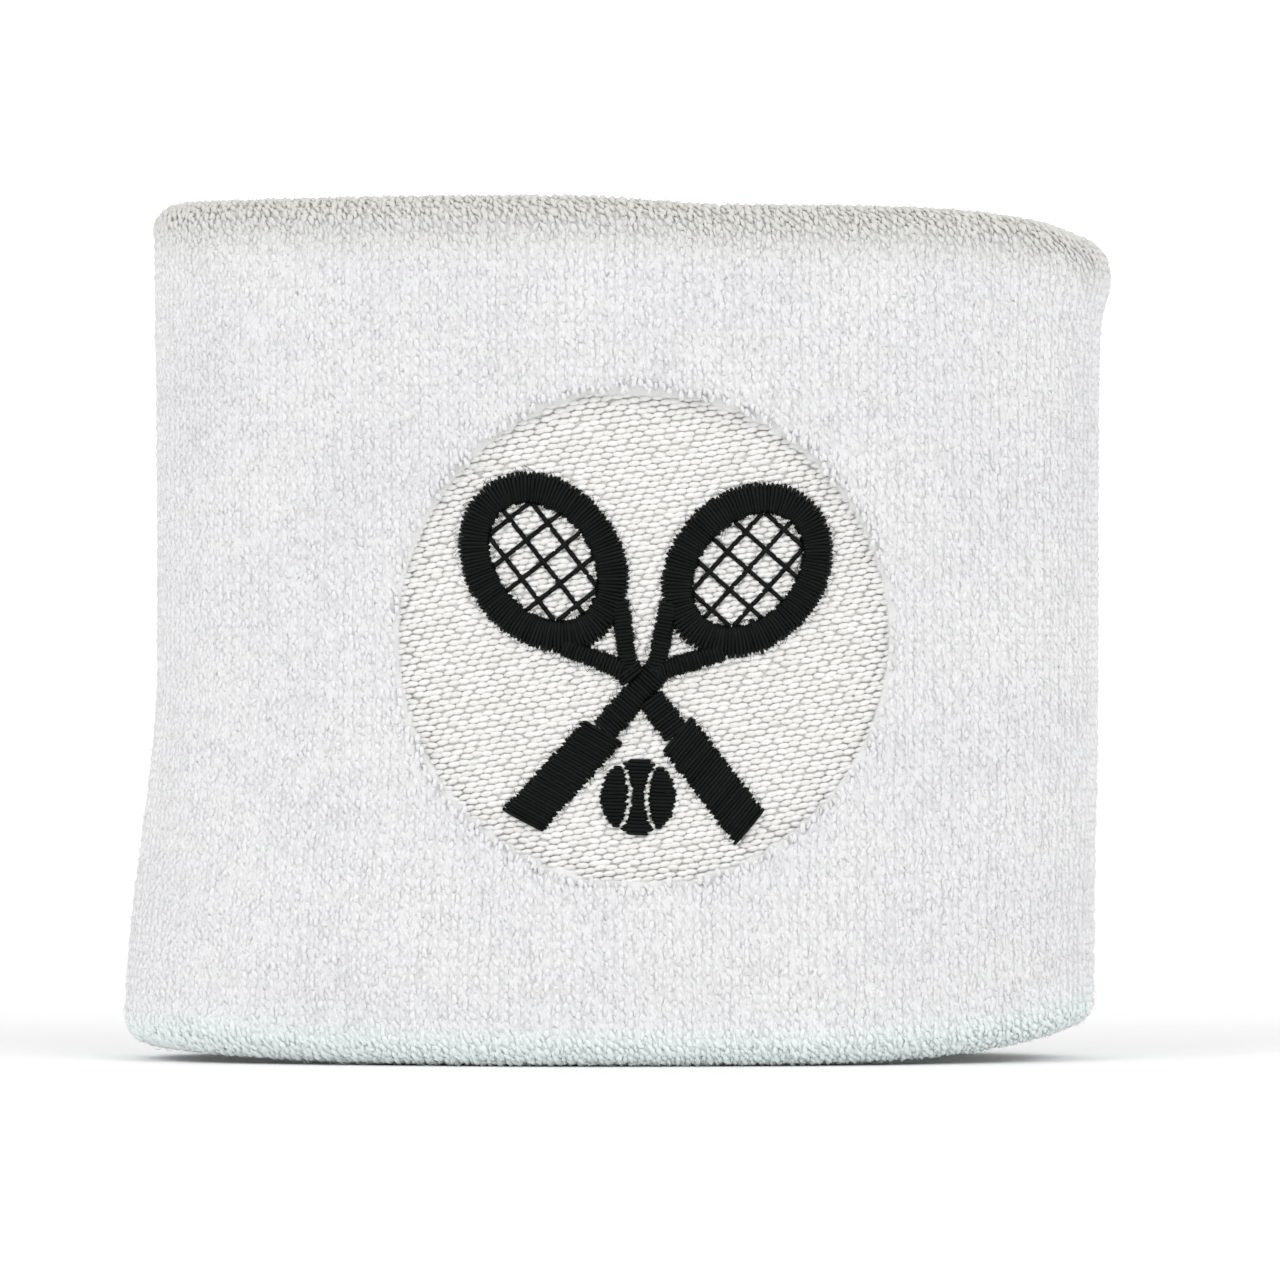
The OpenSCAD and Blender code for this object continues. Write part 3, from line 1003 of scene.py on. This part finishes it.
def running(start, end, side):
    """A row of short stitches between two points, from the middle of a racket's head."""
    start, end = np.array(start), np.array(end)
    length = np.linalg.norm(end - start)
    count = max(round(length / STRING_STITCH), 1)
    part = np.linspace(0, 1, 6)
    along = (np.arange(count)[:, None] + part) / count
    spot = start + along[..., None] * (end - start)
    x, z = along_racket(side, spot[..., 0], spot[..., 1] + HEAD_REACH)
    offset = FILL_FRONT - 0.12 * MM + 0.2 * MM * np.sin(np.pi * part) + np.zeros_like(x)
    return face_threads(x, z, offset, np.full(x.shape, STRING_R), 5)


def racket_strings(side, word):
    """Running stitches for the strings: three lines along the head and five across it."""
    wide, long = HEAD_W / 2 - RIM_W, HEAD_L / 2 - RIM_W
    parts = []
    for place in STRING_PITCH * np.arange(-1, 2):
        reach = long * math.sqrt(1 - (place / wide) ** 2)
        parts.append(running((place, -reach), (place, reach), side))
    for place in STRING_PITCH * np.arange(-2, 3):
        reach = wide * math.sqrt(1 - (place / long) ** 2)
        parts.append(running((-reach, place), (reach, place), side))
    points, faces, shade = join(parts)
    node = f"{word}_strings"
    make_piece(f"{word}_string_stitches", points, faces, shade, BLACK, [node])


def racket(side, word):
    """A racket, its side -1 for the left one and 1 for the right one."""
    racket_head(side, word)
    racket_grip(side, word)
    racket_shaft(side, word)
    racket_strings(side, word)


def ball():
    """Level stitches across the ball, broken where its two seam lines are left open."""
    count = int(2 * BALL_R / SATIN_PITCH)
    height = (np.arange(count) + 0.5) / count * 2 * BALL_R - BALL_R
    half = np.sqrt(BALL_R**2 - height**2)
    seam_r = 1.5 * BALL_R
    inner = seam_r + BALL_SEAM_W - np.sqrt(seam_r**2 - height**2)
    parts = []
    gap = BALL_SEAM_W / 2 - 0.12 * MM
    for low, high in ((-half, -inner - gap), (-inner + gap, inner - gap), (inner + gap, half)):
        low, high = np.maximum(low, -half), np.minimum(high, half)
        kept = high - low > 0.5 * MM
        middle, width = (low + high)[kept] / 2, (high - low)[kept]
        ones = np.ones(kept.sum())
        parts.append(satin(middle, height[kept] - BALL_DROP, ones, 0 * ones, width, BALL_LIFT))
    points, faces, shade = join(parts)
    make_piece("ball_satin", points, faces, shade, BLACK, ["stitched_ball"])


def underlay():
    """The stitching that flattens the pile under the fill."""
    bed(
        "underlay_bed", DISC_R - 0.4 * MM, POCKET, FILL_FRONT - 0.36 * MM,
        CREAM, ["underlay_stitching"],
    )


def backing():
    """The fleece patch behind the outer layer."""
    bed(
        "backing_patch", DISC_R + 2 * MM, BACKING_BACK, -LAYER,
        FLEECE, ["embroidery_backing"],
    )


def bobbin():
    """The bobbin thread on the back of the patch."""
    bed(
        "bobbin_patch", DISC_R, BACKING_BACK - 0.2 * MM, BACKING_BACK,
        BOBBIN, ["bobbin_stitching"],
    )


fill_stitches()
underlay()
backing()
bobbin()
racket(-1, "left_racket")
racket(1, "right_racket")
ball()

# ---- stage, light and camera ----

SUN_STRENGTH, SUN_SPREAD = 0.8, 50
CAMERA_DISTANCE, VIEW_WIDTH = 0.70, 113.8 * MM
CAMERA_RIGHT, CAMERA_DROP = 1.1 * MM, 0.8 * MM


def studio_paper():
    """Pale matt paper."""
    material, nodes, links, shader = material_nodes("studio_paper")
    whites = [(0.3, (0.97, 0.97, 0.97)), (0.7, (0.99, 0.99, 0.99))]
    base = ramp(nodes, links, noise(nodes, links, 300), whites)
    links.new(base, shader.inputs["Base Color"])
    shader.inputs["Roughness"].default_value = 0.9
    return material


def stage():
    """A round pale floor that curves up at its edge."""
    spokes, flat_rings, reach, bend = 64, [0.3, 0.8, 1.4], 2.0, 0.5
    rise = np.linspace(0, math.pi / 2, 9)
    radius = np.concatenate([flat_rings, reach + bend * np.sin(rise)])
    height = np.concatenate([np.zeros(len(flat_rings)), bend - bend * np.cos(rise)])
    angle = 2 * np.pi * np.arange(spokes) / spokes
    x, y = radius[:, None] * np.cos(angle), radius[:, None] * np.sin(angle)
    rings = np.stack([x, y, height[:, None] + 0 * x], -1).reshape(-1, 3)
    index = np.arange(len(rings)).reshape(len(radius), spokes)
    faces = [index[0].tolist(), *ring_faces(index).tolist()]
    mesh = bpy.data.meshes.new("floor")
    mesh.from_pydata(rings.tolist(), [], faces)
    for polygon in mesh.polygons:
        polygon.use_smooth = True
    mesh.materials.append(studio_paper())
    floor = bpy.data.objects.new("floor", mesh)
    bpy.context.scene.collection.objects.link(floor)


def sky():
    """Even white light from all round."""
    world = bpy.data.worlds.new("studio")
    world.use_nodes = True
    background = world.node_tree.nodes["Background"]
    background.inputs["Color"].default_value = (1, 1, 1, 1)
    background.inputs["Strength"].default_value = 0.80
    bpy.context.scene.world = world


def sun(name, height, side):
    """Soft daylight from a height above the horizon and a side from the front, in degrees."""
    data = bpy.data.lights.new(name, "SUN")
    data.energy = SUN_STRENGTH
    data.angle = math.radians(SUN_SPREAD)
    lamp = bpy.data.objects.new(name, data)
    height, side = math.radians(height), math.radians(side)
    level = math.cos(height)
    towards = Vector((math.sin(side) * level, -math.cos(side) * level, math.sin(height)))
    lamp.rotation_euler = towards.to_track_quat("Z", "Y").to_euler()
    bpy.context.scene.collection.objects.link(lamp)


def camera():
    """Square on to the emblem, close enough for the front to bow a little in perspective."""
    data = bpy.data.cameras.new("camera")
    data.angle = 2 * math.atan(VIEW_WIDTH / 2 / CAMERA_DISTANCE)
    data.clip_start = 0.01
    view = bpy.data.objects.new("camera", data)
    view.location = (CAMERA_RIGHT, -CAMERA_DISTANCE, MIDDLE - CAMERA_DROP)
    view.rotation_euler = (math.pi / 2, 0, 0)
    bpy.context.scene.collection.objects.link(view)
    bpy.context.scene.camera = view


stage()
sky()
sun("left", 32, -52)
sun("right", 32, 48)
camera()
bpy.context.scene.view_settings.view_transform = "Standard"
